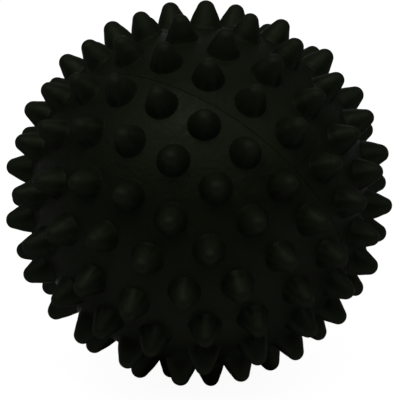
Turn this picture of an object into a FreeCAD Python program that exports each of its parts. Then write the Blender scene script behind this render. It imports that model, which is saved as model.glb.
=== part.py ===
import FreeCAD, Part
import math
import os

import Sketcher

# A spiky massage ball of black moulded rubber, hollow and filled with air. Two half shells, each
# moulded in one piece with its spikes, meet in a bonded tongue and groove joint at the parting
# plane. A self-sealing needle valve sits at the pole of the upper half, where one spike is left out.
#
# Every half is drawn about its own pole, which points along the body's +Z, with the parting plane
# at Z = 0. The placements then turn the ball so that it stands on three neighbouring spikes:
# +Z is up, and the origin is the centre of the ball.

V = FreeCAD.Vector
doc = FreeCAD.newDocument("spiky_massage_ball")

# ---------------------------------------------------------------- driving dimensions (mm, degrees)
SIZES = [
    ("ball_radius", 45.0, "centre to the end of a spike"),
    ("skin_radius", 39.1, "centre to the skin between the spikes"),
    ("wall", 3.0, "thickness of the skin"),
    ("tip_radius", 2.0, "rounding of a spike's end"),
    ("flank_angle", 22.0, "slope of a spike's side to its axis"),
    ("root_depth", 1.0, "how far a spike's solid starts inside the skin"),
    ("first_latitude", 8.1, "ring of spikes, counted from the parting plane"),
    ("second_latitude", 23.5, ""),
    ("third_latitude", 40.3, ""),
    ("fourth_latitude", 56.2, ""),
    ("fifth_latitude", 73.6, ""),
    ("first_count", 22, "spikes in that ring"),
    ("second_count", 20, ""),
    ("third_count", 17, ""),
    ("fourth_count", 12, ""),
    ("fifth_count", 6, ""),
    ("tongue_width", 1.0, "tongue of the lower half, in the middle of the wall"),
    ("tongue_height", 1.5, ""),
    ("cement_gap", 0.2, "bonding rubber round the tongue"),
    ("seam_chamfer", 0.15, "breaks the outer edge of each half: the visible seam"),
    ("neck_radius", 4.0, "valve housing where it passes through the skin"),
    ("flange_radius", 6.5, "valve housing against the inside of the skin"),
    ("flange_thickness", 1.5, ""),
    ("lip_height", 0.3, "how far the housing stands out of the skin"),
    ("stem_length", 7.0, "valve housing below its flange"),
    ("core_radius", 2.4, "self-sealing core inside the housing"),
    ("nose_length", 2.0, "taper of the core's inner end"),
    ("nose_radius", 1.2, ""),
    ("port_radius", 1.2, "lead-in for the pump's needle"),
    ("port_depth", 2.5, ""),
    ("rest_spin", 88.06, "turn about +Z of the ball on its three spikes"),
]

sheet = doc.addObject("Spreadsheet::Sheet", "Sizes")
for row, (alias, value, meaning) in enumerate(SIZES, start=1):
    sheet.set("A%d" % row, alias)
    sheet.set("B%d" % row, str(value))
    sheet.set("C%d" % row, meaning)
    sheet.setAlias("B%d" % row, alias)
doc.recompute()

RINGS = ["first", "second", "third", "fourth", "fifth"]

# A ring starts on the reference meridian (0) or half a pitch beside it (0.5).
LOWER_STARTS = [0.0, 0.5, 0.5, 0.5, 0.5]
UPPER_STARTS = [0.5, 0.0, 0.5, 0.0, 0.5]

# The ball stands on these spikes of the lower half: (ring, number in the ring).
REST_SPIKES = [("second", 8), ("second", 7), ("third", 6)]


class Length:
    """A length from the sheet: its value now, and the expression that keeps it so."""

    def __init__(self, value, text):
        self.value = value
        self.text = text

    def __add__(self, other):
        return Length(self.value + other.value, "(%s + %s)" % (self.text, other.text))

    def __sub__(self, other):
        return Length(self.value - other.value, "(%s - %s)" % (self.text, other.text))

    def half(self):
        return Length(self.value / 2, "(%s / 2)" % self.text)

    def height_on_sphere(self, radius):
        """Height of a sphere about the centre at this distance from the axis."""
        value = math.sqrt(radius.value ** 2 - self.value ** 2)
        return Length(value, "sqrt(%s ^ 2 - %s ^ 2)" % (radius.text, self.text))


def cell(alias):
    return Length(float(sheet.get(alias)), "Sizes." + alias)


# ---------------------------------------------------------------- sketches and features
def new_body(label):
    body = doc.addObject("PartDesign::Body", label)
    body.Label = label
    return body


def origin_feature(body, role):
    """The body's own origin plane or axis with this role."""
    return [item for item in body.Origin.OriginFeatures if item.Role == role][0]


def new_sketch(body, name, plane):
    sketch = body.newObject("Sketcher::SketchObject", name)
    sketch.AttachmentSupport = [(origin_feature(body, plane), "")]
    sketch.MapMode = "FlatFace"
    return sketch


def bind(sketch, kind, where, length):
    """A dimension that follows the sheet."""
    index = sketch.addConstraint(Sketcher.Constraint(kind, *where, length.value))
    sketch.setExpression("Constraints[%d]" % index, length.text)


def fix_corner(sketch, line, across, along):
    """Place the start of a line at a distance from the axis and a height; None is on the axis."""
    if across is None:
        sketch.addConstraint(Sketcher.Constraint("PointOnObject", line, 1, -2))
    else:
        bind(sketch, "DistanceX", (-1, 1, line, 1), across)
    bind(sketch, "DistanceY", (-1, 1, line, 1), along)


def add_outline(sketch, corners):
    """A closed outline of straight lines through corners given as (across, along)."""
    points = [V(across.value if across else 0, along.value, 0) for across, along in corners]
    count = len(points)
    for number in range(count):
        sketch.addGeometry(Part.LineSegment(points[number], points[(number + 1) % count]))
    for number, (across, along) in enumerate(corners):
        following = (number + 1) % count
        sketch.addConstraint(Sketcher.Constraint("Coincident", number, 2, following, 1))
        fix_corner(sketch, number, across, along)


def add_circles(sketch, radii):
    """Circles about the body's axis."""
    for number, radius in enumerate(radii):
        sketch.addGeometry(Part.Circle(V(0, 0, 0), V(0, 0, 1), radius.value))
        sketch.addConstraint(Sketcher.Constraint("Coincident", number, 3, -1, 1))
        bind(sketch, "Radius", (number,), radius)


def revolve(body, name, sketch):
    """Turn a sketch a full circle about its own upright axis."""
    turned = body.newObject("PartDesign::Revolution", name)
    turned.Profile = sketch
    turned.ReferenceAxis = (sketch, ["V_Axis"])
    turned.Angle = 360
    doc.recompute()
    return turned


def extrude(body, kind, name, radii, length, reverse):
    """Pad or pocket a disc or ring drawn on the parting plane."""
    before = body.Tip.Shape.Volume if body.Tip else 0
    sketch = new_sketch(body, name + "_sketch", "XY_Plane")
    add_circles(sketch, radii)
    feature = body.newObject("PartDesign::" + kind, name)
    feature.Profile = sketch
    feature.Length = length.value
    feature.setExpression("Length", length.text)
    feature.Reversed = reverse
    doc.recompute()
    if kind == "Pocket" and feature.Shape.Volume > before - 1:
        raise RuntimeError("%s cuts nothing" % name)
    return feature


# ---------------------------------------------------------------- spikes
def spike_sketch(body, name):
    """Half of a spike's section, with the spike's axis along the sketch's upright axis."""
    sketch = new_sketch(body, name, "XZ_Plane")
    root = cell("skin_radius") - cell("root_depth")
    tip = cell("ball_radius")
    rounding = cell("tip_radius")
    slope = math.radians(float(sheet.get("flank_angle")))

    centre = V(0, tip.value - rounding.value, 0)
    shoulder = centre + V(math.cos(slope), math.sin(slope), 0) * rounding.value
    root_half_width = shoulder.x + (shoulder.y - root.value) * math.tan(slope)
    foot = V(0, root.value, 0)
    corner = V(root_half_width, root.value, 0)
    end = V(0, tip.value, 0)

    base, flank, cap, axis = range(4)
    sketch.addGeometry(Part.LineSegment(foot, corner))
    sketch.addGeometry(Part.LineSegment(corner, shoulder))
    circle = Part.Circle(centre, V(0, 0, 1), rounding.value)
    sketch.addGeometry(Part.ArcOfCircle(circle, slope, math.pi / 2))
    sketch.addGeometry(Part.LineSegment(end, foot))

    sketch.addConstraint(Sketcher.Constraint("Coincident", base, 2, flank, 1))
    sketch.addConstraint(Sketcher.Constraint("Tangent", flank, 2, cap, 1))
    sketch.addConstraint(Sketcher.Constraint("Coincident", cap, 2, axis, 1))
    sketch.addConstraint(Sketcher.Constraint("Coincident", axis, 2, base, 1))
    sketch.addConstraint(Sketcher.Constraint("PointOnObject", base, 1, -2))
    sketch.addConstraint(Sketcher.Constraint("PointOnObject", cap, 2, -2))
    sketch.addConstraint(Sketcher.Constraint("PointOnObject", cap, 3, -2))
    sketch.addConstraint(Sketcher.Constraint("Horizontal", base))
    bind(sketch, "DistanceY", (-1, 1, base, 1), root)
    bind(sketch, "DistanceY", (-1, 1, cap, 2), tip)
    bind(sketch, "Radius", (cap,), rounding)
    flank_direction = Length(math.pi / 2 + slope, "90 deg + Sizes.flank_angle * 1 deg")
    bind(sketch, "Angle", (flank,), flank_direction)
    return sketch


def add_ring(body, ring, start):
    """One ring of spikes at its latitude: the first spike, and the pattern about the pole."""
    sketch = spike_sketch(body, ring + "_spike_sketch")
    turn = "rotationy(%s * 360 / Sizes.%s_count)" % (start, ring)
    tilt = "rotationz(Sizes.%s_latitude - 90)" % ring
    sketch.setExpression(
        "AttachmentOffset", "placement(vector(0; 0; 0); %s * %s)" % (turn, tilt))
    spike = revolve(body, ring + "_spike", sketch)
    pattern = body.newObject("PartDesign::PolarPattern", ring + "_ring")
    pattern.Originals = [spike]
    pattern.Axis = (origin_feature(body, "Z_Axis"), [""])
    pattern.Angle = 360
    pattern.setExpression("Occurrences", "Sizes.%s_count" % ring)
    body.Tip = pattern
    doc.recompute()


def spike_direction(ring, number, starts):
    """Unit vector along one spike, in the frame of its half."""
    latitude = math.radians(float(sheet.get(ring + "_latitude")))
    pitch = 2 * math.pi / float(sheet.get(ring + "_count"))
    longitude = (starts[RINGS.index(ring)] + number) * pitch
    level = math.cos(latitude)
    return V(level * math.cos(longitude), level * math.sin(longitude), math.sin(latitude))


# ---------------------------------------------------------------- half shells and their joint
MIDDLE_OF_WALL = cell("skin_radius") - cell("wall").half()
TONGUE_INSIDE = MIDDLE_OF_WALL - cell("tongue_width").half()
TONGUE_OUTSIDE = MIDDLE_OF_WALL + cell("tongue_width").half()
GROOVE_INSIDE = TONGUE_INSIDE - cell("cement_gap")
GROOVE_OUTSIDE = TONGUE_OUTSIDE + cell("cement_gap")
GROOVE_DEPTH = cell("tongue_height") + cell("cement_gap")


def add_dome(body, kind, name, radius):
    """A hemisphere above the parting plane, added or cut away."""
    dome = body.newObject("PartDesign::%sSphere" % kind, name)
    dome.setExpression("Radius", radius.text)
    dome.Angle1 = 0
    dome.Angle2 = 90
    doc.recompute()


def add_seam_chamfer(body):
    """Break the outer edge of the rim, where the two halves meet."""
    radius = cell("skin_radius").value
    dome = body.Tip
    rim = []
    for number, edge in enumerate(dome.Shape.Edges, start=1):
        box = edge.BoundBox
        if box.ZLength < 1e-6 and abs(box.ZMax) < 1e-6 and abs(box.XMax - radius) < 1e-4:
            rim.append("Edge%d" % number)
    chamfer = body.newObject("PartDesign::Chamfer", "seam_chamfer")
    chamfer.Base = (dome, rim)
    chamfer.Size = cell("seam_chamfer").value
    chamfer.setExpression("Size", "Sizes.seam_chamfer")
    body.Tip = chamfer
    doc.recompute()


def half_shell(label, starts):
    body = new_body(label)
    add_dome(body, "Additive", "dome", cell("skin_radius"))
    add_dome(body, "Subtractive", "hollow", cell("skin_radius") - cell("wall"))
    add_seam_chamfer(body)
    for ring, start in zip(RINGS, starts):
        add_ring(body, ring, start)
    return body


lower_half = half_shell("lower_half", LOWER_STARTS)
revolve(lower_half, "pole_spike", spike_sketch(lower_half, "pole_spike_sketch"))
extrude(lower_half, "Pad", "tongue", [TONGUE_OUTSIDE, TONGUE_INSIDE], cell("tongue_height"), True)

upper_half = half_shell("upper_half", UPPER_STARTS)
extrude(upper_half, "Pocket", "groove", [GROOVE_OUTSIDE, GROOVE_INSIDE], GROOVE_DEPTH, True)
extrude(upper_half, "Pocket", "valve_hole", [cell("neck_radius")], cell("ball_radius"), True)

# The bonding rubber fills the groove round the tongue.
seam_cement = new_body("seam_cement")
extrude(seam_cement, "Pad", "cement", [GROOVE_OUTSIDE, GROOVE_INSIDE], GROOVE_DEPTH, False)
extrude(seam_cement, "Pocket", "tongue_space", [TONGUE_OUTSIDE, TONGUE_INSIDE],
        cell("tongue_height"), True)

# ---------------------------------------------------------------- needle valve, on the upper pole
NECK = cell("neck_radius")
FLANGE = cell("flange_radius")
CORE = cell("core_radius")
PORT = cell("port_radius")
INNER_SKIN = cell("skin_radius") - cell("wall")
MOUTH = cell("skin_radius") + cell("lip_height")
CORE_TOP = MOUTH - cell("port_depth")
FLANGE_TOP = FLANGE.height_on_sphere(INNER_SKIN)
FLANGE_BOTTOM = FLANGE_TOP - cell("flange_thickness")
STEM_END = FLANGE_BOTTOM - cell("stem_length")

valve_housing = new_body("valve_housing")
housing_sketch = new_sketch(valve_housing, "housing_sketch", "XZ_Plane")
add_outline(housing_sketch, [
    (PORT, MOUTH),
    (PORT, CORE_TOP),
    (CORE, CORE_TOP),
    (CORE, STEM_END),
    (NECK, STEM_END),
    (NECK, FLANGE_BOTTOM),
    (FLANGE, FLANGE_BOTTOM),
    (FLANGE, FLANGE_TOP),
    (NECK, NECK.height_on_sphere(INNER_SKIN)),
    (NECK, MOUTH),
])
revolve(valve_housing, "housing", housing_sketch)

valve_core = new_body("valve_core")
core_sketch = new_sketch(valve_core, "core_sketch", "XZ_Plane")
add_outline(core_sketch, [
    (None, CORE_TOP),
    (None, STEM_END - cell("nose_length")),
    (cell("nose_radius"), STEM_END - cell("nose_length")),
    (CORE, STEM_END),
    (CORE, CORE_TOP),
])
revolve(valve_core, "core", core_sketch)

# ---------------------------------------------------------------- stand the ball on three spikes
first, second, third = [spike_direction(ring, number, LOWER_STARTS)
                        for ring, number in REST_SPIKES]
down = (second - first).cross(third - first)
down.normalize()
if down.dot(first) < 0:
    down = down * -1
settle = FreeCAD.Rotation(down, V(0, 0, -1))
spin = FreeCAD.Rotation(V(0, 0, 1), float(sheet.get("rest_spin")))
pole_over = FreeCAD.Rotation(V(1, 0, 0), 180)

lower_half.Placement = FreeCAD.Placement(V(0, 0, 0), spin * settle)
for body in [upper_half, seam_cement, valve_housing, valve_core]:
    body.Placement = FreeCAD.Placement(V(0, 0, 0), spin * settle * pole_over)
doc.recompute()

# ---------------------------------------------------------------- check and write
parts = [lower_half, upper_half, seam_cement, valve_housing, valve_core]
for item in doc.Objects:
    if "Invalid" in item.State or "Error" in item.State:
        raise RuntimeError("%s failed: %s" % (item.Name, item.State))
for body in parts:
    if body.Shape.isNull() or not body.Shape.isValid() or len(body.Shape.Solids) != 1:
        raise RuntimeError("%s has no single valid solid" % body.Label)

os.makedirs("parts", exist_ok=True)
for body in parts:
    body.Shape.exportStep("parts/%s.step" % body.Label)
    box = body.Shape.BoundBox
    print("%-14s %9.1f mm3  x %6.2f..%6.2f  y %6.2f..%6.2f  z %6.2f..%6.2f" % (
        body.Label, body.Shape.Volume, box.XMin, box.XMax, box.YMin, box.YMax,
        box.ZMin, box.ZMax))

outward = valve_housing.Placement.Rotation.multVec(V(0, 0, 1))
port = outward * (MOUTH.value - cell("port_depth").value / 2)
print("needle port centre %.3f %.3f %.3f mm, axis %.6f %.6f %.6f" % (*port, *outward))
plane = down.dot(first) * (cell("ball_radius").value - cell("tip_radius").value)
print("rest plane z = %.3f mm" % -(plane + cell("tip_radius").value))
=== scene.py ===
import math
import random

import bmesh
import bpy
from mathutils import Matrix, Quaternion, Vector, noise
from mathutils.geometry import delaunay_2d_cdt


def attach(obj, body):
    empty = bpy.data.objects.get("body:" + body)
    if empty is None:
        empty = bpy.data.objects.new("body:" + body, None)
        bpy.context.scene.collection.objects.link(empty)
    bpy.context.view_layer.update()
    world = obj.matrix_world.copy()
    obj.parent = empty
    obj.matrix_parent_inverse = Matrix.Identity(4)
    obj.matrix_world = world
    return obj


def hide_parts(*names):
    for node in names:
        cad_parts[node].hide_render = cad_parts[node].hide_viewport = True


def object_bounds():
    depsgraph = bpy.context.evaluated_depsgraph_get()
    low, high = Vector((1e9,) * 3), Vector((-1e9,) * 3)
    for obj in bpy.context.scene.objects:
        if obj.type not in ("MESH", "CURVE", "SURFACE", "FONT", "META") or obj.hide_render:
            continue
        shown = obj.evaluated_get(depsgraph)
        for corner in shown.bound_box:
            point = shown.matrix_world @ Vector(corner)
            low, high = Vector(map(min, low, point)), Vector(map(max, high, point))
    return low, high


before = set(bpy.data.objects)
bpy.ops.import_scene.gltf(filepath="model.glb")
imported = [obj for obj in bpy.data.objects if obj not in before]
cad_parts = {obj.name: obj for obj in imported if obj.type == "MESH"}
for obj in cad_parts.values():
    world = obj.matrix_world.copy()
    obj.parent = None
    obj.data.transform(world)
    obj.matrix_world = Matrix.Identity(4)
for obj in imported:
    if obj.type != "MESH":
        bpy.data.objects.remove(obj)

CAD_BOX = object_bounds()

# A spiky massage ball of black moulded rubber, standing on three of its spikes. Each half shell is
# one closed mesh: a skin with rings of rounded spikes, the seam edge, the joint and the inside.
# The ball's lengths are in millimetres up to the point where a mesh is made, which is in metres.
# The stage, the lights and the camera are in metres.
MM = 0.001

# ---------------------------------------------------------------- sizes, as in the CAD model
BALL_RADIUS = 45.0
SKIN_RADIUS = 39.1
WALL = 3.0
TIP_RADIUS = 2.0
FLANK_ANGLE = math.radians(22)

# The rings of spikes on each half, from the seam to the pole. A ring starts on the meridian or
# half a pitch on.
LATITUDES = [math.radians(angle) for angle in (8.1, 23.5, 40.3, 56.2, 73.6)]
COUNTS = [22, 20, 17, 12, 6]
LOWER_STARTS = [0.0, 0.5, 0.5, 0.5, 0.5]
UPPER_STARTS = [0.5, 0.0, 0.5, 0.0, 0.5]
REST_SPIKES = [(1, 8), (1, 7), (2, 6)]        # ring and number, on the lower half
REST_SPIN = math.radians(88.06)               # about the upright, to face the camera

# The joint between the halves, and the valve.
TONGUE_WIDTH = 1.0
TONGUE_HEIGHT = 1.5
CEMENT_GAP = 0.2
NECK_RADIUS = 4.0
LIP_HEIGHT = 0.3
CORE_RADIUS = 2.4
FLANGE_RADIUS = 6.5
FLANGE_THICKNESS = 1.5
STEM_LENGTH = 7.0
NOSE_LENGTH = 2.0
NOSE_RADIUS = 1.2
PORT_RADIUS = 1.2
PORT_DEPTH = 2.5

# ---------------------------------------------------------------- what the moulding adds
FLARE_ROUNDING = 0.12      # of the corner between a spike and the skin
FLANK_BELLY = 0.12         # how far a spike's side bulges
BLUNTEST = 1.07            # a spike's rounding varies between these shares of the tip radius
SHARPEST = 0.98
LEAN = 0.3                 # the furthest that a spike's end leans from its axis
LEAN_CURVE = 1.5           # above 1, a leaning spike bends more towards its end
OUT_OF_ROUND = 0.03        # the furthest that a spike is from round, as a share of its radius
LOBE_TURN = 1.0            # radians between a spike's three lobes and its oval
ROUND_FOOT = 0.25          # share of a spike's height in which it goes from round to its own shape
HEIGHT_LOSS = 0.12         # how much lower than the mould's depth a spike may stand
SEAM_WIDTH = 0.1           # from the middle of the seam to the full skin, on each half
SEAM_DEPTH = 0.14
SEAM_LAP = 0.33            # how far the upper half's lip laps over the lower half
SEAM_WANDER = 0.14         # the furthest that the parting line strays from its lapped place
SEAM_WAVES = ((3, 0.7, 1.0), (8, 2.1, 0.6), (19, 0.0, 0.2))   # waves round, phase and share
SEAM_STEP = 0.06           # how far the upper half's edge stands out of the skin
SEAM_STEP_SPREAD = 0.35    # how far from the seam that step fades
SPIKE_START = 0.3          # height over the skin from which a spike has no part in that step
SEAM_BANDS = (0.22, 0.45, 0.8)   # loops of the skin beside the seam, from its middle
SEAM_CURVE = (0.3, 0.6, 0.85, 1.0)   # loops of the edge rolled over at the seam, by its turn
SKIN_WAVES = ((0.05, 6), (0.025, 17))   # the skin's unevenness: height and fineness
PAD_END = 5.9              # where the low round pad about the valve meets the skin
PAD_SLOPE = 0.8            # width of the pad's sloping edge
PAD_HEIGHT = 0.2
LIP_ROUNDING = 0.28        # of the valve housing's outer edge
DISH_RADIUS = 2.6          # shallow dish round the needle port
DISH_DEPTH = 0.25
PORT_ROUNDING = 0.45
EDGE_ROUNDING = 0.3        # of the valve's inner edges
SLIT_RADIUS = 0.35         # dimple where a needle goes through the core
SLIT_DEPTH = 0.25

# ---------------------------------------------------------------- colours (linear)
RUBBER_DARK = (0.0229, 0.0290, 0.0145)
RUBBER_LIGHT = (0.0286, 0.0362, 0.0181)
GLOSS_TINT = (0.90, 1.0, 0.70, 1.0)
DUST = (0.046, 0.056, 0.028)
# The spike ends' paler colour: partly scuffing, partly a painted highlight on their caps.
RUBBED_AND_HIGHLIGHT = (0.0388, 0.0472, 0.0275)
DUST_END = 40.5            # dust lies between the skin and this distance from the ball's centre
RUB_HIGHLIGHT_START = 40.0           # a spike is scuffed, and painted paler as a highlight, more and more between these two distances
RUB_HIGHLIGHT_FULL = 44.8
DUST_COVER = 0.35          # share of the colour that dust takes where it is thickest
DUST_MATTING = 0.15        # roughness that dust adds
RUB_MATTING = 0.1          # roughness that scuffing adds

# ---------------------------------------------------------------- how fine the meshes are
SEGMENTS = 40              # round a spike
CAP_RINGS = 6              # along it
FLANK_RINGS = 7
FLARE_RINGS = 3
RUN_OUT = 0.08             # skin between the flare and the spike's last ring
SKIN_SPACING = 0.85        # between the skin's points
RIM_POINTS = 352           # round the seam
INSIDE_RINGS = 14          # from the rim to the pole on the inside
HOUSING_POINTS = 96        # round the valve's housing
CORE_POINTS = 64           # round its core
EDGE_STEPS = 4             # over a rounded edge of the valve
LIP_STEPS = 6              # over its outer lip, and into its port
NOSE_STEPS = 3             # over the edge of its core


# ---------------------------------------------------------------- where the spikes are
def direction(latitude, longitude):
    """Unit vector at a latitude and longitude in radians."""
    level = math.cos(latitude)
    return Vector((level * math.cos(longitude), level * math.sin(longitude), math.sin(latitude)))


def spike_axes(starts, with_pole):
    """Unit vectors along the spikes of a half, in the half's own frame with its pole on +Z."""
    axes = []
    for latitude, count, start in zip(LATITUDES, COUNTS, starts):
        for number in range(count):
            axes.append(direction(latitude, (start + number) * 2 * math.pi / count))
    if with_pole:
        axes.append(Vector((0, 0, 1)))
    return axes


def standing():
    """Rotation of the lower half's frame into the frame of the whole ball."""
    feet = []
    for ring, number in REST_SPIKES:
        longitude = (LOWER_STARTS[ring] + number) * 2 * math.pi / COUNTS[ring]
        feet.append(direction(LATITUDES[ring], longitude))
    down = (feet[1] - feet[0]).cross(feet[2] - feet[0]).normalized()
    if down.dot(feet[0]) < 0:
        down.negate()
    settle = down.rotation_difference(Vector((0, 0, -1)))
    return Quaternion((0, 0, 1), REST_SPIN) @ settle


LOWER_TURN = standing()
UPPER_TURN = LOWER_TURN @ Quaternion((1, 0, 0), math.pi)


# ---------------------------------------------------------------- mesh building
class Shell:
    """Points and faces of one mesh, in millimetres. The ball's are in the frame of a half."""

    def __init__(self):
        self.points = []
        self.faces = []

    def add_loop(self, points):
        """Adds points and returns their numbers."""
        first = len(self.points)
        self.points.extend(points)
        return list(range(first, len(self.points)))

    def join(self, outer, inner):
        """A band of quads between two loops with the same number of points."""
        count = len(outer)
        for here in range(count):
            after = (here + 1) % count
            self.faces.append((outer[here], outer[after], inner[after], inner[here]))

    def close(self, loop, point):
        """A fan of triangles from a loop to one point."""
        middle = self.add_loop([point])[0]
        count = len(loop)
        for here in range(count):
            self.faces.append((loop[here], loop[(here + 1) % count], middle))

    def build(self, name, turn, floor=None):
        """The mesh as an object in the ball's frame, in metres, with no point below the floor."""
        turned = [turn @ point for point in self.points]
        if floor is not None:
            turned = [Vector((p.x, p.y, max(p.z, floor))) for p in turned]
        mesh = bpy.data.meshes.new(name)
        mesh.from_pydata([point * MM for point in turned], [], self.faces)
        work = bmesh.new()
        work.from_mesh(mesh)
        bmesh.ops.recalc_face_normals(work, faces=work.faces)
        work.to_mesh(mesh)
        work.free()
        mesh.shade_smooth()
        piece = bpy.data.objects.new(name, mesh)
        bpy.context.scene.collection.objects.link(piece)
        return piece


def arc(across, along, radius, start, end, steps):
    """Points of an arc in a section, from one angle to another, both ends included."""
    points = []
    for step in range(steps + 1):
        angle = start + (end - start) * step / steps
        points.append((across + radius * math.cos(angle), along + radius * math.sin(angle)))
    return points


def circle_about_pole(radius, height, count):
    """A circle about +Z at a height."""
    points = []
    for step in range(count):
        angle = 2 * math.pi * step / count
        points.append(Vector((radius * math.cos(angle), radius * math.sin(angle), height)))
    return points


def smooth(value):
    """0 below 0, 1 above 1 and a soft step between."""
    value = min(max(value, 0.0), 1.0)
    return value * value * (3 - 2 * value)


# ---------------------------------------------------------------- spikes
def spike_profile(tip_radius, height_loss):
    """Section of a spike from near its end to the skin: (distance from its axis, height)."""
    across_flank = Vector((math.cos(FLANK_ANGLE), math.sin(FLANK_ANGLE)))
    down_flank = Vector((math.sin(FLANK_ANGLE), -math.cos(FLANK_ANGLE)))
    cap_centre = Vector((0, BALL_RADIUS - height_loss - tip_radius))
    shoulder = cap_centre + across_flank * tip_radius

    # The flare is an arc that touches both the flank and the skin: its centre slides down beside
    # the flank until it is its own radius above the skin.
    start = shoulder + across_flank * FLARE_ROUNDING
    reach = SKIN_RADIUS + FLARE_ROUNDING
    along = start.dot(down_flank)
    slide = -along - math.sqrt(along ** 2 - start.length_squared + reach ** 2)
    flare_centre = start + down_flank * slide
    foot = flare_centre - across_flank * FLARE_ROUNDING

    points = arc(0, cap_centre.y, tip_radius, math.pi / 2, FLANK_ANGLE, CAP_RINGS)[1:]
    for step in range(1, FLANK_RINGS):
        share = step / FLANK_RINGS
        belly = FLANK_BELLY * math.sin(math.pi * share) ** 2
        point = shoulder.lerp(foot, share) + across_flank * belly
        points.append((point.x, point.y))
    at_flank = math.pi + FLANK_ANGLE
    at_skin = math.atan2(-flare_centre.y, -flare_centre.x) + 2 * math.pi
    points += arc(flare_centre.x, flare_centre.y, FLARE_ROUNDING, at_flank, at_skin, FLARE_RINGS)
    run_out = points[-1][0] + RUN_OUT
    points.append((run_out, math.sqrt(SKIN_RADIUS ** 2 - run_out ** 2)))
    return points


def sideways(axis):
    """Two directions across an axis."""
    first = axis.orthogonal().normalized()
    return first, axis.cross(first)


def add_spike(shell, axis, chance, is_foot):
    """A spike from its end to its last ring on the skin. Returns that ring."""
    tip_radius = TIP_RADIUS * chance.uniform(SHARPEST, BLUNTEST)
    loss = chance.uniform(0, HEIGHT_LOSS)
    lean_angle = chance.uniform(0, 2 * math.pi)
    lean = LEAN * math.sqrt(chance.random())
    twist = chance.uniform(0, 2 * math.pi)
    oval = OUT_OF_ROUND * chance.random()
    lobes = OUT_OF_ROUND * chance.random() / 2
    if is_foot:
        tip_radius, loss, lean, oval, lobes = TIP_RADIUS, 0.0, 0.0, 0.0, 0.0
    first, second = sideways(axis)
    leaning = (first * math.cos(lean_angle) + second * math.sin(lean_angle)) * lean
    height = BALL_RADIUS - SKIN_RADIUS

    def placed(across, along, angle):
        rise = max(along - SKIN_RADIUS, 0) / height
        side = first * math.cos(angle) + second * math.sin(angle)
        around = angle - twist
        uneven = oval * math.cos(2 * around) + lobes * math.cos(3 * around + LOBE_TURN)
        across *= 1 + uneven * min(rise / ROUND_FOOT, 1)
        return axis * along + side * across + leaning * rise ** LEAN_CURVE

    rings = []
    for across, along in spike_profile(tip_radius, loss):
        ring = [placed(across, along, twist + 2 * math.pi * step / SEGMENTS)
                for step in range(SEGMENTS)]
        rings.append(shell.add_loop(ring))
    for outer, inner in zip(rings[1:], rings[:-1]):
        shell.join(outer, inner)
    shell.close(rings[0], placed(0, BALL_RADIUS - loss, 0))
    return rings[-1]


# ---------------------------------------------------------------- skin between the spikes
EVEN_TRIANGLE = math.sqrt(0.75)   # height of a triangle whose sides are 1
KEEP_INSIDE = 1                   # the triangulation drops what lies outside the rim
SAME_POINT = 1e-7                 # points nearer than this are one, in the flattened half


def even_points(count):
    """Points spread evenly over a half by the golden angle."""
    golden = math.pi * (3 - math.sqrt(5))
    points = []
    for number in range(count):
        height = 1 - (number + 0.5) / count
        points.append(direction(math.asin(height), number * golden))
    return points


def flattened(point):
    """The half seen from its other pole, which keeps circles round."""
    unit = point.normalized()
    return Vector((unit.x, unit.y)) / (1 + unit.z)


def add_skin(shell, rim, holes, clear_axes, clear_distance, lowest):
    """Triangles between the rim and the holes, with points spread evenly between them.

    The points stay higher than lowest(point), and away from each axis by its clear distance.
    """
    count = int(2 * math.pi * SKIN_RADIUS ** 2 / SKIN_SPACING ** 2 / EVEN_TRIANGLE)
    loose = []
    for unit in even_points(count):
        point = unit * SKIN_RADIUS
        if point.z < lowest(point) + SKIN_SPACING / 2:
            continue
        if any((point - axis * SKIN_RADIUS).length < distance + SKIN_SPACING / 2
               for axis, distance in zip(clear_axes, clear_distance)):
            continue
        loose.append(point)
    loose_numbers = shell.add_loop(loose)
    numbers = rim + [number for hole in holes for number in hole] + loose_numbers
    edges = []
    first = 0
    for loop in [rim] + holes:
        count = len(loop)
        edges += [(first + step, first + (step + 1) % count) for step in range(count)]
        first += count
    owner = [-1] * len(rim)
    for index, hole in enumerate(holes):
        owner += [index] * len(hole)
    owner += [-1] * len(loose)
    flat = [flattened(shell.points[number]) for number in numbers]
    result = delaunay_2d_cdt(flat, edges, [], KEEP_INSIDE, SAME_POINT)
    triangles = result[2]
    origin = result[3]
    for triangle in triangles:
        corners = [origin[corner][0] for corner in triangle]
        owners = {owner[corner] for corner in corners}
        # A triangle with all its corners on one hole lies across that hole.
        if len(owners) == 1 and owners != {-1}:
            continue
        shell.faces.append(tuple(numbers[corner] for corner in corners))


# ---------------------------------------------------------------- half shells
def wander(longitude):
    """How far the parting line lies from its plane, up the lower half."""
    waves = sum(share * math.sin(count * longitude + phase) for count, phase, share in SEAM_WAVES)
    return SEAM_LAP + SEAM_WANDER * waves / sum(share for _, _, share in SEAM_WAVES)


def joint_section(is_lower):
    """Section of the joint and the inside, from the seam to the pole or the valve's hole."""
    middle = SKIN_RADIUS - WALL / 2
    if is_lower:
        half_width, step_height = TONGUE_WIDTH / 2, -TONGUE_HEIGHT
    else:
        half_width, step_height = TONGUE_WIDTH / 2 + CEMENT_GAP, TONGUE_HEIGHT + CEMENT_GAP
    inside = SKIN_RADIUS - WALL
    section = [(SKIN_RADIUS - 2 * SEAM_DEPTH, 0), (middle + half_width, 0),
               (middle + half_width, step_height), (middle - half_width, step_height),
               (middle - half_width, 0), (inside, 0)]
    last_angle = math.pi / 2 if is_lower else math.acos(NECK_RADIUS / inside)
    for step in range(1, INSIDE_RINGS + (0 if is_lower else 1)):
        angle = last_angle * step / INSIDE_RINGS
        section.append((inside * math.cos(angle), inside * math.sin(angle)))
    return section


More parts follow.
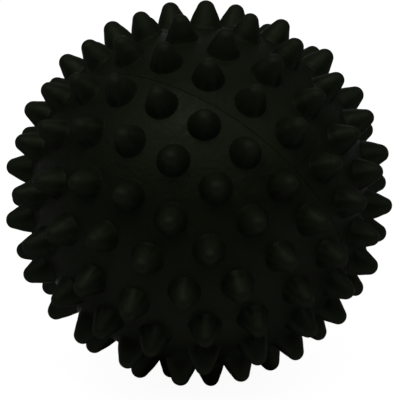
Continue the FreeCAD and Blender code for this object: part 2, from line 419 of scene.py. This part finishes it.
def half_shell(name, starts, is_lower, seed):
    """A half of the ball with its spikes, as one closed mesh."""
    chance = random.Random(seed)
    shell = Shell()
    turn = LOWER_TURN if is_lower else UPPER_TURN
    edge_sign = 1 if is_lower else -1

    def edge_height(longitude):
        # The halves' frames have opposite longitudes.
        return edge_sign * wander(edge_sign * longitude)

    def ring_at(radius, raise_by):
        """A loop beside the parting line."""
        points = []
        for step in range(RIM_POINTS):
            longitude = 2 * math.pi * step / RIM_POINTS
            height = raise_by + edge_height(longitude)
            level = math.sqrt(radius ** 2 - height ** 2)
            points.append(
                Vector((level * math.cos(longitude), level * math.sin(longitude), height)))
        return points

    axes = spike_axes(starts, with_pole=is_lower)
    feet = []
    if is_lower:
        feet = [sum(COUNTS[:ring]) + number for ring, number in REST_SPIKES]
    holes = [add_spike(shell, axis, chance, number in feet) for number, axis in enumerate(axes)]
    spike_foot = spike_profile(TIP_RADIUS, 0)[-1][0]
    clear_distance = [spike_foot] * len(axes)

    # The edge at the seam: the skin rolls over into a narrow groove.
    bands = [shell.add_loop(ring_at(SKIN_RADIUS, height)) for height in reversed(SEAM_BANDS)]
    rim = bands[0]
    bands.append(shell.add_loop(ring_at(SKIN_RADIUS, SEAM_WIDTH)))
    for outer, inner in zip(bands[:-1], bands[1:]):
        shell.join(outer, inner)
    previous = bands[-1]
    for share in SEAM_CURVE:
        angle = share * math.pi / 2
        radius = SKIN_RADIUS - SEAM_DEPTH * (1 - math.cos(angle))
        ring = shell.add_loop(ring_at(radius, SEAM_WIDTH * (1 - math.sin(angle))))
        shell.join(previous, ring)
        previous = ring

    for radius, height in joint_section(is_lower):
        ring = shell.add_loop(circle_about_pole(radius, height, RIM_POINTS))
        shell.join(previous, ring)
        previous = ring

    if is_lower:
        shell.close(previous, Vector((0, 0, SKIN_RADIUS - WALL)))
    else:
        top = math.sqrt(SKIN_RADIUS ** 2 - NECK_RADIUS ** 2)
        hole = shell.add_loop(circle_about_pole(NECK_RADIUS, top, RIM_POINTS))
        shell.join(previous, hole)
        holes.append(hole)
        axes.append(Vector((0, 0, 1)))
        clear_distance.append(NECK_RADIUS)

    add_skin(shell, rim, holes, axes, clear_distance,
             lambda point: SEAM_BANDS[-1] + edge_height(math.atan2(point.y, point.x)))

    shape_skin(shell, edge_height, is_lower)
    return shell.build(name, turn, floor=CAD_BOX[0][2] / MM)


def shape_skin(shell, edge_height, is_lower):
    """The moulding's slight unevenness, the step at the seam and the pad about the valve."""
    joint_top = SKIN_RADIUS - 1.5 * SEAM_DEPTH      # the seam's groove is above it
    spikes_start = SKIN_RADIUS + SPIKE_START
    for number, point in enumerate(shell.points):
        reach = point.length
        if reach < joint_top:
            continue
        unit = point / reach
        lift = sum(height * noise.noise(unit * waves) for height, waves in SKIN_WAVES)
        if not is_lower:
            if reach < spikes_start:
                from_seam = abs(point.z - edge_height(math.atan2(point.y, point.x)))
                lift += SEAM_STEP * math.exp(-(from_seam / SEAM_STEP_SPREAD) ** 2)
            from_pole = math.hypot(point.x, point.y)
            lift += PAD_HEIGHT * smooth((PAD_END - from_pole) / PAD_SLOPE)
        shell.points[number] = unit * (reach + min(lift, BALL_RADIUS - reach))


# ---------------------------------------------------------------- valve
def lathe(name, section, turn, count):
    """A closed ring-shaped piece turned about the pole from a section of (radius, height)."""
    shell = Shell()
    loops = [shell.add_loop(circle_about_pole(radius, height, count))
             for radius, height in section]
    for outer, inner in zip(loops, loops[1:] + loops[:1]):
        shell.join(outer, inner)
    return shell.build(name, turn)


def height_on_sphere(sphere, radius):
    """Height at which a sphere about the centre is as wide as a radius about the pole."""
    return math.sqrt(sphere ** 2 - radius ** 2)


def make_valve():
    """The valve's housing and the self-sealing core in it."""
    inside = SKIN_RADIUS - WALL
    mouth = SKIN_RADIUS + LIP_HEIGHT
    core_top = mouth - PORT_DEPTH
    flange_top = height_on_sphere(inside, FLANGE_RADIUS)
    flange_bottom = flange_top - FLANGE_THICKNESS
    stem_end = flange_bottom - STEM_LENGTH

    # Up the outside, over the lip, down into the port and along the core.
    section = [(NECK_RADIUS, stem_end + EDGE_ROUNDING), (NECK_RADIUS, flange_bottom)]
    section += arc(FLANGE_RADIUS - EDGE_ROUNDING, flange_bottom + EDGE_ROUNDING, EDGE_ROUNDING,
                   -math.pi / 2, 0, EDGE_STEPS)
    section += [(FLANGE_RADIUS, flange_top),
                (NECK_RADIUS, height_on_sphere(inside, NECK_RADIUS))]
    section += arc(NECK_RADIUS - LIP_ROUNDING, mouth - LIP_ROUNDING, LIP_ROUNDING,
                   0, math.pi / 2, LIP_STEPS)
    section += [(DISH_RADIUS, mouth)]
    section += arc(PORT_RADIUS + PORT_ROUNDING, mouth - DISH_DEPTH - PORT_ROUNDING, PORT_ROUNDING,
                   math.pi / 2, math.pi, LIP_STEPS)
    section += [(PORT_RADIUS, core_top), (CORE_RADIUS, core_top), (CORE_RADIUS, stem_end)]
    section += arc(NECK_RADIUS - EDGE_ROUNDING, stem_end + EDGE_ROUNDING, EDGE_ROUNDING,
                   -math.pi / 2, 0, EDGE_STEPS)[:-1]
    housing = lathe("valve_rim", section, UPPER_TURN, HOUSING_POINTS)

    core = Shell()
    outline = [(SLIT_RADIUS, core_top), (PORT_RADIUS, core_top), (CORE_RADIUS, core_top)]
    outline += arc(CORE_RADIUS - EDGE_ROUNDING, stem_end, EDGE_ROUNDING,
                   0, -math.pi / 3, NOSE_STEPS)
    outline += [(NOSE_RADIUS, stem_end - NOSE_LENGTH)]
    loops = [core.add_loop(circle_about_pole(radius, height, CORE_POINTS))
             for radius, height in outline]
    for outer, inner in zip(loops[:-1], loops[1:]):
        core.join(outer, inner)
    core.close(loops[-1], Vector((0, 0, stem_end - NOSE_LENGTH)))
    core.close(list(reversed(loops[0])), Vector((0, 0, core_top - SLIT_DEPTH)))
    plug = core.build("valve_plug", UPPER_TURN)
    return housing, plug


# ---------------------------------------------------------------- materials
NOISE_LOW = 0.3            # a noise mostly keeps between these two values
NOISE_HIGH = 0.7
MIX_FIRST = 6              # a mix node has a set of sockets for each type, and these are
MIX_SECOND = 7             # the ones for colours
MIX_RESULT = 2


def colour_mix(tree, share):
    """A node that mixes two colours by a share."""
    node = tree.nodes.new("ShaderNodeMix")
    node.data_type = "RGBA"
    tree.links.new(share, node.inputs["Factor"])
    return node


class Nodes:
    """Builds a material's node tree."""

    def __init__(self, name):
        self.material = bpy.data.materials.new(name)
        self.material.use_nodes = True
        self.tree = self.material.node_tree
        self.tree.nodes.clear()
        self.output = self.tree.nodes.new("ShaderNodeOutputMaterial")
        self.shader = self.tree.nodes.new("ShaderNodeBsdfPrincipled")
        self.link(self.shader, "BSDF", self.output, "Surface")
        self.place = self.tree.nodes.new("ShaderNodeTexCoord")

    def link(self, source, out_name, target, in_name):
        self.tree.links.new(source.outputs[out_name], target.inputs[in_name])

    def noise(self, scale, detail, roughness=0.5):
        """A noise fixed to the ball, with its scale in waves per metre."""
        node = self.tree.nodes.new("ShaderNodeTexNoise")
        node.inputs["Scale"].default_value = scale
        node.inputs["Detail"].default_value = detail
        node.inputs["Roughness"].default_value = roughness
        self.link(self.place, "Object", node, "Vector")
        return node.outputs["Fac"]

    def ramp(self, value, low, high, out_low=0.0, out_high=1.0):
        """Maps a range of a value softly onto another."""
        node = self.tree.nodes.new("ShaderNodeMapRange")
        node.interpolation_type = "SMOOTHSTEP"
        node.inputs["From Min"].default_value = low
        node.inputs["From Max"].default_value = high
        node.inputs["To Min"].default_value = out_low
        node.inputs["To Max"].default_value = out_high
        self.tree.links.new(value, node.inputs["Value"])
        return node.outputs["Result"]

    def spread(self, noise, out_low=0.0, out_high=1.0):
        """Maps a noise softly onto a range."""
        return self.ramp(noise, NOISE_LOW, NOISE_HIGH, out_low, out_high)

    def math(self, operation, first, second):
        """A sum, product or such of two values, each a number or a socket."""
        node = self.tree.nodes.new("ShaderNodeMath")
        node.operation = operation
        for socket, value in zip(node.inputs, (first, second)):
            if isinstance(value, (int, float)):
                socket.default_value = value
            else:
                self.tree.links.new(value, socket)
        return node.outputs["Value"]

    def mix(self, share, first, second):
        """Two colours mixed by a share, each a colour or a socket."""
        node = colour_mix(self.tree, share)
        for name, value in ((MIX_FIRST, first), (MIX_SECOND, second)):
            if isinstance(value, tuple):
                node.inputs[name].default_value = (*value, 1)
            else:
                self.tree.links.new(value, node.inputs[name])
        return node.outputs[MIX_RESULT]

    def bump(self, height, distance, strength, under=None):
        """A bump from a height, on top of another bump if there is one."""
        node = self.tree.nodes.new("ShaderNodeBump")
        node.inputs["Distance"].default_value = distance
        node.inputs["Strength"].default_value = strength
        self.tree.links.new(height, node.inputs["Height"])
        if under is not None:
            self.tree.links.new(under, node.inputs["Normal"])
        return node.outputs["Normal"]

    def from_centre(self):
        """Distance from the ball's centre, in metres."""
        node = self.tree.nodes.new("ShaderNodeVectorMath")
        node.operation = "LENGTH"
        self.link(self.place, "Object", node, "Vector")
        return node.outputs["Value"]

    def set(self, name, value):
        """Sets a socket of the shader that is the same all over."""
        self.shader.inputs[name].default_value = value

    def connect(self, colour, roughness, normal):
        """Links the shader's varying sockets and returns the material."""
        self.tree.links.new(colour, self.shader.inputs["Base Color"])
        self.tree.links.new(roughness, self.shader.inputs["Roughness"])
        self.tree.links.new(normal, self.shader.inputs["Normal"])
        return self.material


def skin_material():
    """Matt moulded rubber: fine grain, a little dust in the hollows, spike ends paler, partly
    scuffed and partly a painted highlight.
    """
    nodes = Nodes("skin_rubber")
    reach = nodes.from_centre()
    mottle = nodes.noise(scale=90, detail=3)
    specks = nodes.noise(scale=260, detail=5, roughness=0.65)
    dust = nodes.math("MULTIPLY", nodes.ramp(specks, 0.5, 0.72),
                      nodes.ramp(reach, DUST_END * MM, SKIN_RADIUS * MM))
    wear = nodes.noise(scale=220, detail=2)
    # Spike ends turn paler outwards: partly scuffing, partly a painted highlight.
    rubbed_and_highlit = nodes.math("MULTIPLY", nodes.ramp(reach, RUB_HIGHLIGHT_START * MM, RUB_HIGHLIGHT_FULL * MM),
                        nodes.ramp(wear, 0.3, 0.65, out_low=0.75, out_high=1.0))
    colour = nodes.mix(nodes.spread(mottle), RUBBER_DARK, RUBBER_LIGHT)
    colour = nodes.mix(nodes.math("MULTIPLY", dust, DUST_COVER), colour, DUST)
    colour = nodes.mix(rubbed_and_highlit, colour, RUBBED_AND_HIGHLIGHT)
    gloss = nodes.noise(scale=420, detail=4, roughness=0.6)
    roughness = nodes.spread(gloss, out_low=0.36, out_high=0.47)
    roughness = nodes.math("ADD", roughness, nodes.math("MULTIPLY", rubbed_and_highlit, RUB_MATTING))
    roughness = nodes.math("ADD", roughness, nodes.math("MULTIPLY", dust, DUST_MATTING))
    grain = nodes.bump(nodes.noise(scale=2600, detail=2, roughness=0.6),
                       distance=0.00012, strength=0.35)
    peel = nodes.bump(nodes.noise(scale=700, detail=3), distance=0.0003, strength=0.45,
                      under=grain)
    nodes.set("Specular IOR Level", 0.35)
    nodes.set("Specular Tint", GLOSS_TINT)
    return nodes.connect(colour, roughness, peel)


def plain_rubber(name, dark, light, low_rough, high_rough, specular):
    """Moulded rubber without wear, for the pieces that are seen little."""
    nodes = Nodes(name)
    colour = nodes.mix(nodes.spread(nodes.noise(scale=500, detail=4)), dark, light)
    roughness = nodes.spread(nodes.noise(scale=900, detail=3), low_rough, high_rough)
    normal = nodes.bump(nodes.noise(scale=3000, detail=2), distance=0.0001, strength=0.3)
    nodes.set("Specular IOR Level", specular)
    nodes.set("Specular Tint", GLOSS_TINT)
    return nodes.connect(colour, roughness, normal)


def give(piece, material):
    """Gives a piece one material."""
    piece.data.materials.clear()
    piece.data.materials.append(material)


# ---------------------------------------------------------------- the object
lower = half_shell("lower_shell", LOWER_STARTS, is_lower=True, seed=3)
upper = half_shell("upper_shell", UPPER_STARTS, is_lower=False, seed=5)
housing, plug = make_valve()

skin = skin_material()
housing_rubber = plain_rubber("valve_rubber", dark=(0.016, 0.020, 0.011),
                              light=(0.023, 0.029, 0.016),
                              low_rough=0.34, high_rough=0.46, specular=0.4)
core_rubber = plain_rubber("core_rubber", dark=(0.075, 0.070, 0.062), light=(0.105, 0.100, 0.088),
                           low_rough=0.6, high_rough=0.75, specular=0.4)
cement = plain_rubber("bonding_rubber", dark=(0.007, 0.007, 0.007), light=(0.013, 0.013, 0.013),
                      low_rough=0.6, high_rough=0.8, specular=0.3)

# Each piece, its material, the CAD node that it stands for and its slot in the record.
PIECES = (
    (lower, skin, "lower_half", "skin_rubber"),
    (upper, skin, "upper_half", "skin_rubber"),
    (housing, housing_rubber, "valve_housing", "valve_rubber"),
    (plug, core_rubber, "valve_core", "core_rubber"),
)
for piece, material, node, slot in PIECES:
    give(piece, material)
    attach(piece, "root")
    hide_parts(node)
give(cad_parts["seam_cement"], cement)

# ---------------------------------------------------------------- stage
FLOOR_HEIGHT = CAD_BOX[0][2]
FLOOR_REACH = 2.5          # flat part of the floor, from the ball
SWEEP = 1.5                # radius with which the floor turns up into the wall
WALL_RISE = 3.0            # of the wall above that
SWEEP_STEPS = 12
BACKDROP_POINTS = 96       # round the backdrop
BACKDROP_GLOW = 0.95       # keeps the backdrop white, as the photo's is
SHADE_RADIUS = 0.025       # of the shade card
SHADE_DROP = 0.0005        # of the card below the floor
SHADE_POINTS = 48          # round the card


def backdrop():
    """A round pale floor that curves up into a wall all the way round."""
    shell = Shell()
    section = arc(FLOOR_REACH, SWEEP, SWEEP, -math.pi / 2, 0, SWEEP_STEPS)
    section.append((FLOOR_REACH + SWEEP, SWEEP + WALL_RISE))
    loops = [shell.add_loop(circle_about_pole(radius / MM, (FLOOR_HEIGHT + height) / MM,
                                              BACKDROP_POINTS))
             for radius, height in section]
    for outer, inner in zip(loops[1:], loops[:-1]):
        shell.join(outer, inner)
    shell.close(loops[0], Vector((0, 0, FLOOR_HEIGHT / MM)))
    piece = shell.build("backdrop", Quaternion())
    nodes = Nodes("backdrop_white")
    colour = nodes.mix(nodes.spread(nodes.noise(scale=3, detail=2)),
                       (0.84, 0.84, 0.84), (0.88, 0.88, 0.88))
    roughness = nodes.spread(nodes.noise(scale=40, detail=2), out_low=0.7, out_high=0.85)
    normal = nodes.bump(nodes.noise(scale=400, detail=2), distance=0.0002, strength=0.05)
    nodes.set("Specular IOR Level", 0.1)
    nodes.set("Emission Color", (1, 1, 1, 1))
    nodes.set("Emission Strength", BACKDROP_GLOW)
    give(piece, nodes.connect(colour, roughness, normal))
    # The surround lights the ball, so the backdrop is only there to be seen.
    piece.visible_diffuse = False
    piece.visible_glossy = False
    piece.visible_shadow = False
    return piece


def shade_card():
    """A dark disc just under the floor. It stands for the ball's shade, which darkens its foot."""
    shell = Shell()
    depth = (FLOOR_HEIGHT - SHADE_DROP) / MM
    edge = shell.add_loop(circle_about_pole(SHADE_RADIUS / MM, depth, SHADE_POINTS))
    shell.close(edge, Vector((0, 0, depth)))
    piece = shell.build("shade_card", Quaternion())
    give(piece, plain_rubber("card_black", dark=(0.002, 0.002, 0.002), light=(0.004, 0.004, 0.004),
                             low_rough=0.8, high_rough=0.9, specular=0.1))
    piece.visible_camera = False
    return piece


backdrop()
shade_card()


# ---------------------------------------------------------------- light
# Name, azimuth (0 is the camera's side), elevation, size and power in watts. Angles in degrees.
LIGHTS = (
    ("upper_left", -28, 72, 0.3, 0.26),
    ("low_left", -60, -20, 0.4, 0.04),
    ("low_right", 60, -20, 0.4, 0.065),
    ("back", 180, 20, 0.4, 0.09),
    ("behind", 180, -19, 0.6, 0.60),
)
LIGHT_DISTANCE = 1.0

# How bright the surround is, in four bands from straight below to straight above.
FRONT_BANDS = (0.104, 0.047, 0.0, 0.206)
BACK_BANDS = (0.028, 0.076, 0.027, 0.057)
BAND_BLUR = 0.03           # half the width of the step between bands, the whole height being 1
SIDE_BLUR = 0.1            # half the width of the step from front to back, in a direction's Y


def area_light(name, azimuth, elevation, size, power):
    """A square soft light that looks at the ball."""
    lamp = bpy.data.lights.new(name, "AREA")
    lamp.shape = "SQUARE"
    lamp.size = size
    lamp.energy = power
    piece = bpy.data.objects.new(name, lamp)
    around = direction(math.radians(elevation), math.radians(azimuth - 90))
    piece.location = around * LIGHT_DISTANCE
    piece.rotation_euler = around.to_track_quat("Z", "Y").to_euler()
    bpy.context.scene.collection.objects.link(piece)


def band_ramp(tree, bands):
    """A ramp with a flat stretch for each band and soft steps between them."""
    ramp = tree.nodes.new("ShaderNodeValToRGB")
    ramp.color_ramp.interpolation = "EASE"
    ends = []
    for number, value in enumerate(bands):
        ends.append((number / len(bands) + BAND_BLUR, value))
        ends.append(((number + 1) / len(bands) - BAND_BLUR, value))
    stops = ramp.color_ramp.elements
    given = len(stops)      # a new ramp has some stops already
    for number, (position, value) in enumerate(ends):
        stop = stops[number] if number < given else stops.new(position)
        stop.position = position
        stop.color = (value, value, value, 1)
    return ramp


def surround():
    """A wide soft box over the front, a pale table under it and little between them."""
    world = bpy.data.worlds.new("studio")
    world.use_nodes = True
    tree = world.node_tree
    place = tree.nodes.new("ShaderNodeTexCoord")
    axes = tree.nodes.new("ShaderNodeSeparateXYZ")
    tree.links.new(place.outputs["Generated"], axes.inputs["Vector"])
    # From -1 to 1 in the direction's Z to 0 to 1 along the ramps.
    height = tree.nodes.new("ShaderNodeMapRange")
    height.inputs["From Min"].default_value = -1
    tree.links.new(axes.outputs["Z"], height.inputs["Value"])
    side = tree.nodes.new("ShaderNodeMapRange")
    side.interpolation_type = "SMOOTHSTEP"
    side.inputs["From Min"].default_value = -SIDE_BLUR
    side.inputs["From Max"].default_value = SIDE_BLUR
    tree.links.new(axes.outputs["Y"], side.inputs["Value"])
    mix = colour_mix(tree, side.outputs["Result"])
    for bands, name in ((FRONT_BANDS, MIX_FIRST), (BACK_BANDS, MIX_SECOND)):
        ramp = band_ramp(tree, bands)
        tree.links.new(height.outputs["Result"], ramp.inputs["Fac"])
        tree.links.new(ramp.outputs["Color"], mix.inputs[name])
    tree.links.new(mix.outputs[MIX_RESULT], tree.nodes["Background"].inputs["Color"])
    return world


for light in LIGHTS:
    area_light(*light)
bpy.context.scene.world = surround()
bpy.context.scene.view_settings.view_transform = "Standard"

# ---------------------------------------------------------------- camera
CAMERA_DISTANCE = 0.8144
CAMERA_ELEVATION = math.radians(19.14)
CAMERA_ROLL = math.radians(1.09)
FOCAL_LENGTH = 316.5       # millimetres
SENSOR_WIDTH = 36.0
SHIFT = (0.0033, -0.0161)  # shares of the frame
CLIP = (0.05, 50.0)

lens = bpy.data.cameras.new("camera")
lens.lens = FOCAL_LENGTH
lens.sensor_width = SENSOR_WIDTH
lens.shift_x, lens.shift_y = SHIFT
lens.clip_start, lens.clip_end = CLIP
camera = bpy.data.objects.new("camera", lens)
back = Vector((0, -math.cos(CAMERA_ELEVATION), math.sin(CAMERA_ELEVATION)))
roll = Quaternion((0, 0, 1), -CAMERA_ROLL)
camera.location = back * CAMERA_DISTANCE
camera.rotation_mode = "QUATERNION"
camera.rotation_quaternion = (-back).to_track_quat("-Z", "Y") @ roll
bpy.context.scene.collection.objects.link(camera)
bpy.context.scene.camera = camera
